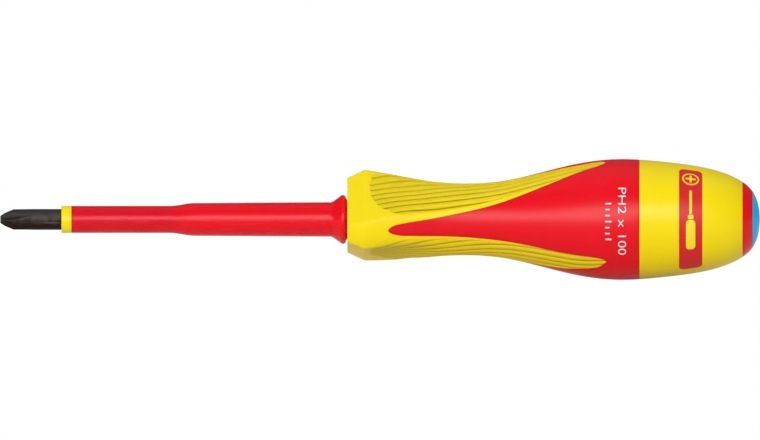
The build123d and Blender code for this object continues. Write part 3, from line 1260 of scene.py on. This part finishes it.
@dataclass
class Marks:
    """Printed size and a plain label with pictograms of a screw head and a driver."""

    finishes: Finishes
    form: HandleForm
    lift: float = 0.045
    film: float = 0.05
    size_text: str = "PH2 x 100"
    size_x: float = 178.05
    size_height: float = 2.3
    size_length: float = 20.4
    size_angle: float = -2.1
    glyph_spans: int = 6
    glyph_thinning: float = -0.008
    glyph_gap: float = 0.02
    glyph_empty: float = 0.01
    ticks_x: tuple[float, float] = (174.3, 176.2)
    tick_count: int = 7
    tick_pitch: float = 1.75
    tick_width: float = 0.4
    tick_round: float = 0.18
    tick_cells: tuple[int, int] = (3, 6)
    long_tick_every: int = 3
    short_tick_loss: float = 0.55
    label_x: tuple[float, float] = (195.6, 202.3)
    label_half: float = 17.6
    label_round: float = 1.6
    label_angle: float = 0.4
    label_cells: tuple[int, int] = (110, 22)
    picture_lift: float = 0.035
    head_inset: float = 4.6
    head_ring: tuple[float, float] = (2.45, 2.0)
    head_bars: tuple[tuple, ...] = (
        ("slot_a", (-1.45, 1.45), (-0.34, 0.34), (8, 2), 0.2),
        ("slot_b", (-0.34, 0.34), (0.34, 1.45), (2, 3), 0.0),
        ("slot_c", (-0.34, 0.34), (-1.45, -0.34), (2, 3), 0.0),
    )
    driver_bars: tuple[tuple, ...] = (
        ("driver_handle", (0.2, 9.2), (-1.35, 1.35), (26, 8), 1.1),
        ("driver_neck", (-1.2, 0.0), (-0.8, 0.8), (4, 5), 0.2),
        ("driver_blade", (-8.6, -1.4), (-0.38, 0.38), (20, 2), 0.0),
    )

    def make(self) -> None:
        """Build the size print, the ticks beside it and the label."""
        self.size_print()
        self.tick_row()
        self.label()

    def wrap(self, piece: bpy.types.Object, base_angle: float, around_r: float,
             lift: float) -> None:
        """Lay a flat piece on the handle and give it the thickness of a film.

        Args:
            piece: Flat mesh: X runs down round the handle and Y along it, both in mm.
            base_angle: Angle where X is 0, in degrees.
            around_r: Radius at which lengths round the handle are true, in mm.
            lift: Height of the film's top over the skin, in mm.
        """
        flat = read_points(piece)
        angle = base_angle - np.degrees(flat[:, 0] / around_r)
        radius = self.form.round_radius(flat[:, 1]) + lift
        place_points(piece, round_axis(flat[:, 1], radius, angle))
        edit(piece)
        bpy.ops.mesh.remove_doubles(threshold=TINY_GAP)
        leave_edit()
        normals = np.array([face.normal for face in piece.data.polygons])
        centres = np.array([face.center for face in piece.data.polygons])
        inward = normals[:, 1] * centres[:, 1] + normals[:, 2] * centres[:, 2] < 0
        edit(piece, select=False)
        bpy.ops.mesh.select_mode(type="FACE")
        leave_edit()
        piece.data.polygons.foreach_set("select", inward)
        bpy.ops.object.mode_set(mode="EDIT")
        bpy.ops.mesh.flip_normals()
        leave_edit()
        film = piece.modifiers.new("film", "SOLIDIFY")
        film.thickness = self.film * MM
        film.offset = -1
        apply_modifiers(piece)
        shade(piece, Shading.CRISP)

    def size_print(self) -> None:
        """Tool size in white, reading down the handle."""
        deselect()
        bpy.ops.object.text_add()
        words = bpy.context.object
        words.data.body = self.size_text
        words.data.align_x = "CENTER"
        words.data.resolution_u = self.glyph_spans
        words.data.offset = self.glyph_thinning
        bpy.ops.object.convert(target="MESH")
        words = named("size_print")
        flat = read_points(words)
        low, high = flat.min(0), flat.max(0)
        flat[:, 0] = (flat[:, 0] - (low[0] + high[0]) / 2) * self.size_length / (high[0] - low[0])
        flat[:, 1] = self.size_x + (flat[:, 1] - low[1]) * self.size_height / (high[1] - low[1])
        place_points(words, flat)
        merge(words, self.glyph_gap, self.glyph_empty)
        bpy.ops.mesh.quads_convert_to_tris()
        bpy.ops.mesh.subdivide(number_cuts=2)
        leave_edit()
        self.wrap(words, self.size_angle, float(self.form.round_radius(self.size_x)), self.lift)
        settle(words, self.finishes.white)

    @staticmethod
    def bar(name: str, across: Sequence[float], along: Sequence[float],
            cells: tuple[int, int], rounding: float) -> bpy.types.Object:
        """Flat bar with rounded corners.

        Args:
            name: Name of the bar.
            across: Lowest and highest X, round the handle.
            along: Lowest and highest Y, along the handle.
            cells: Cells each way.
            rounding: Corner radius.

        Returns:
            The flat bar, in mm.
        """
        half = np.array([across[1] - across[0], along[1] - along[0]]) / 2
        middle = np.array([across[1] + across[0], along[1] + along[0]]) / 2
        grid = np.stack(np.meshgrid(np.linspace(-half[0], half[0], cells[0] + 1),
                                    np.linspace(-half[1], half[1], cells[1] + 1)), -1)
        if rounding:
            inner = np.maximum(np.abs(grid) - (half - rounding), 0)
            corner = (inner > 0).all(-1)
            reach = inner.max(-1) / np.maximum(np.linalg.norm(inner, axis=-1), 1e-9)
            pulled = np.where(corner[..., None], inner * reach[..., None], inner)
            grid = np.sign(grid) * (np.minimum(np.abs(grid), half - rounding) + pulled)
        points = np.zeros((*grid.shape[:2], 3))
        points[..., :2] = grid + middle
        return grid_piece(name, points)

    @staticmethod
    def ring(name: str, centre: tuple[float, float], outer: float,
             inner: float) -> bpy.types.Object:
        """Flat ring round a centre, in mm."""
        deselect()
        bpy.ops.mesh.primitive_circle_add(vertices=RING_SIDES, radius=outer, fill_type="NGON",
                                          location=(0, 0, 0))
        piece = named(name)
        edit(piece)
        bpy.ops.mesh.inset(thickness=outer - inner)
        bpy.ops.mesh.delete(type="FACE")
        leave_edit()
        flat = read_points(piece)
        flat[:, :2] += centre
        place_points(piece, flat)
        return piece

    def tick_row(self) -> None:
        """Row of short white bars beside the size."""
        low, high = self.ticks_x
        bars = []
        for number in range(self.tick_count):
            start = (number - self.tick_count // 2) * self.tick_pitch - self.tick_width / 2
            top = high if number % self.long_tick_every == 0 else high - self.short_tick_loss
            bars.append(self.bar(f"tick_{number}", (start, start + self.tick_width), (low, top),
                                 self.tick_cells, self.tick_round))
        row = joined("tick_print", bars)
        self.wrap(row, self.size_angle, float(self.form.round_radius(high)), self.lift)
        settle(row, self.finishes.white)

    def label(self) -> None:
        """Red label on the band with yellow pictograms."""
        middle = sum(self.label_x) / 2
        around = float(self.form.round_radius(middle))
        plate = self.bar("label_plate", (-self.label_half, self.label_half), self.label_x,
                         self.label_cells, self.label_round)
        self.wrap(plate, self.label_angle, around, self.lift)
        settle(plate, self.finishes.label_red)
        head = self.head_inset - self.label_half
        signs = [self.ring("head_ring", (head, middle), *self.head_ring)]
        for centre, bars in ((head, self.head_bars), (0.0, self.driver_bars)):
            signs += [self.bar(name, np.add(across, centre), np.add(along, middle), cells, corner)
                      for name, across, along, cells, corner in bars]
        pictures = joined("label_pictures", signs)
        self.wrap(pictures, self.label_angle, around, self.lift + self.picture_lift)
        settle(pictures, self.finishes.label_yellow)


# ---- studio -------------------------------------------------------------------------
@dataclass(frozen=True)
class Softbox:
    """Soft rectangular light: place and size in metres, power in watts."""

    name: str
    place: Triple
    size: tuple[float, float]
    power: float
    reflected: bool = True


@dataclass
class Studio:
    """Camera, floor, lights and background."""

    view_width: float = 0.21902
    camera_distance: float = 0.6
    axis_drop: float = 0.00016
    clip: tuple[float, float] = (0.01, 20.0)
    aim: Triple = (0.11, 0.0, 0.0)
    softboxes: tuple[Softbox, ...] = (
        Softbox("front_softbox", (-0.32, -1.12, 0.12), (2.4, 0.62), 21.0),
        Softbox("back_softbox", (0.5, 2.1, 1.0), (3.0, 1.4), 38.0, reflected=False),
        Softbox("top_softbox", (0.11, 0.1, 1.2), (1.8, 1.2), 1.7),
    )
    low_sky: tuple[float, Colour] = (0.25, (0.10, 0.095, 0.09))
    high_sky: tuple[float, Colour] = (0.85, (0.42, 0.42, 0.43))
    gloss_loss: float = 0.75
    floor_size: float = 8.0
    floor_x: float = 0.1
    floor_gap: float = 0.0001
    floor_colour: Colour = (0.55, 0.55, 0.55)
    floor_roughness: float = 0.85
    floor_gloss: float = 0.1
    floor_glow: float = 0.10
    floor_seen: float = 0.50
    floor_reflected: float = 0.10

    def camera(self) -> None:
        """Level side-on camera without perspective, square to the tool."""
        low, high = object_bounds()
        data = bpy.data.cameras.new("side_camera")
        data.type = "ORTHO"
        data.ortho_scale = self.view_width
        data.clip_start, data.clip_end = self.clip
        camera = bpy.data.objects.new("side_camera", data)
        camera.location = ((low.x + high.x) / 2, -self.camera_distance, -self.axis_drop)
        camera.rotation_euler = (math.radians(90), 0, 0)
        bpy.context.collection.objects.link(camera)
        bpy.context.scene.camera = camera

    def light(self, box: Softbox) -> None:
        """Hang one softbox, facing the middle of the tool."""
        data = bpy.data.lights.new(box.name, "AREA")
        data.shape = "RECTANGLE"
        data.size, data.size_y = box.size
        data.energy = box.power
        lamp = bpy.data.objects.new(box.name, data)
        lamp.location = box.place
        way = Vector(self.aim) - Vector(box.place)
        lamp.rotation_euler = way.to_track_quat("-Z", "Z").to_euler()
        lamp.visible_glossy = box.reflected
        bpy.context.collection.objects.link(lamp)

    def background(self) -> None:
        """White to the camera, and a soft light from above to the tool."""
        world = bpy.data.worlds.new("studio")
        bpy.context.scene.world = world
        world.use_nodes = True
        tree = world.node_tree
        tree.nodes.clear()
        build = NodeBuilder(tree)
        place = build.node("ShaderNodeTexCoord").outputs["Generated"]
        split = build.node("ShaderNodeSeparateXYZ")
        build.link(place, split.inputs["Vector"])
        ramp = build.node("ShaderNodeValToRGB")
        for stop, (position, colour) in zip(ramp.color_ramp.elements,
                                            (self.low_sky, self.high_sky)):
            stop.position = position
            stop.color = (*colour, 1)
        height = build.node("ShaderNodeMapRange")
        height.inputs["From Min"].default_value = -1
        build.link(split.outputs["Z"], height.inputs["Value"])
        build.link(height.outputs["Result"], ramp.inputs["Fac"])
        seen = build.node("ShaderNodeBackground")
        seen.inputs["Color"].default_value = (1, 1, 1, 1)
        lit = build.node("ShaderNodeBackground")
        build.link(ramp.outputs["Color"], lit.inputs["Color"])
        rays = build.node("ShaderNodeLightPath")
        build.link(build.math("SUBTRACT", 1.0, build.math(
            "MULTIPLY", rays.outputs["Is Glossy Ray"], self.gloss_loss)), lit.inputs["Strength"])
        choose = build.node("ShaderNodeMixShader")
        build.link(rays.outputs["Is Camera Ray"], choose.inputs["Fac"])
        build.link(lit.outputs["Background"], choose.inputs[1])
        build.link(seen.outputs["Background"], choose.inputs[2])
        result = build.node("ShaderNodeOutputWorld")
        build.link(choose.outputs["Shader"], result.inputs["Surface"])

    def floor(self) -> None:
        """Plain pale floor under the tool."""
        floor_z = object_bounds()[0].z - self.floor_gap
        deselect()
        bpy.ops.mesh.primitive_plane_add(size=self.floor_size,
                                         location=(self.floor_x, 0, floor_z))
        plane = named("floor")
        material, build, shader = new_material("pale_floor", self.floor_colour)
        rays = build.node("ShaderNodeLightPath")
        glow = build.math("ADD", build.math("MULTIPLY", rays.outputs["Is Camera Ray"],
                                            self.floor_seen),
                          build.math("MULTIPLY", rays.outputs["Is Glossy Ray"],
                                     self.floor_reflected))
        build.link(build.math("ADD", glow, self.floor_glow), shader.inputs["Emission Color"])
        build.set_inputs(shader, {
            "Base Color": (*self.floor_colour, 1.0), "Roughness": self.floor_roughness,
            "Specular IOR Level": self.floor_gloss, "Emission Strength": 1.0})
        plane.data.materials.append(material)
        plane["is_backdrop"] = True

    def make(self) -> None:
        """Build the floor, lights and background."""
        self.floor()
        self.background()
        for box in self.softboxes:
            self.light(box)
        bpy.context.scene.view_settings.view_transform = "Standard"


def main() -> None:
    """Build the studio and the tool, piece by piece."""
    logging.basicConfig(level=logging.INFO, format="%(name)s: %(message)s")
    studio = Studio()
    studio.camera()
    finishes = Finishes()
    form = HandleForm()
    InsulatedBlade(finishes).make()
    Handle(finishes, form, PetalForm(), RibField()).make()
    Marks(finishes, form).make()
    studio.make()


if __name__ == "__main__":
    main()
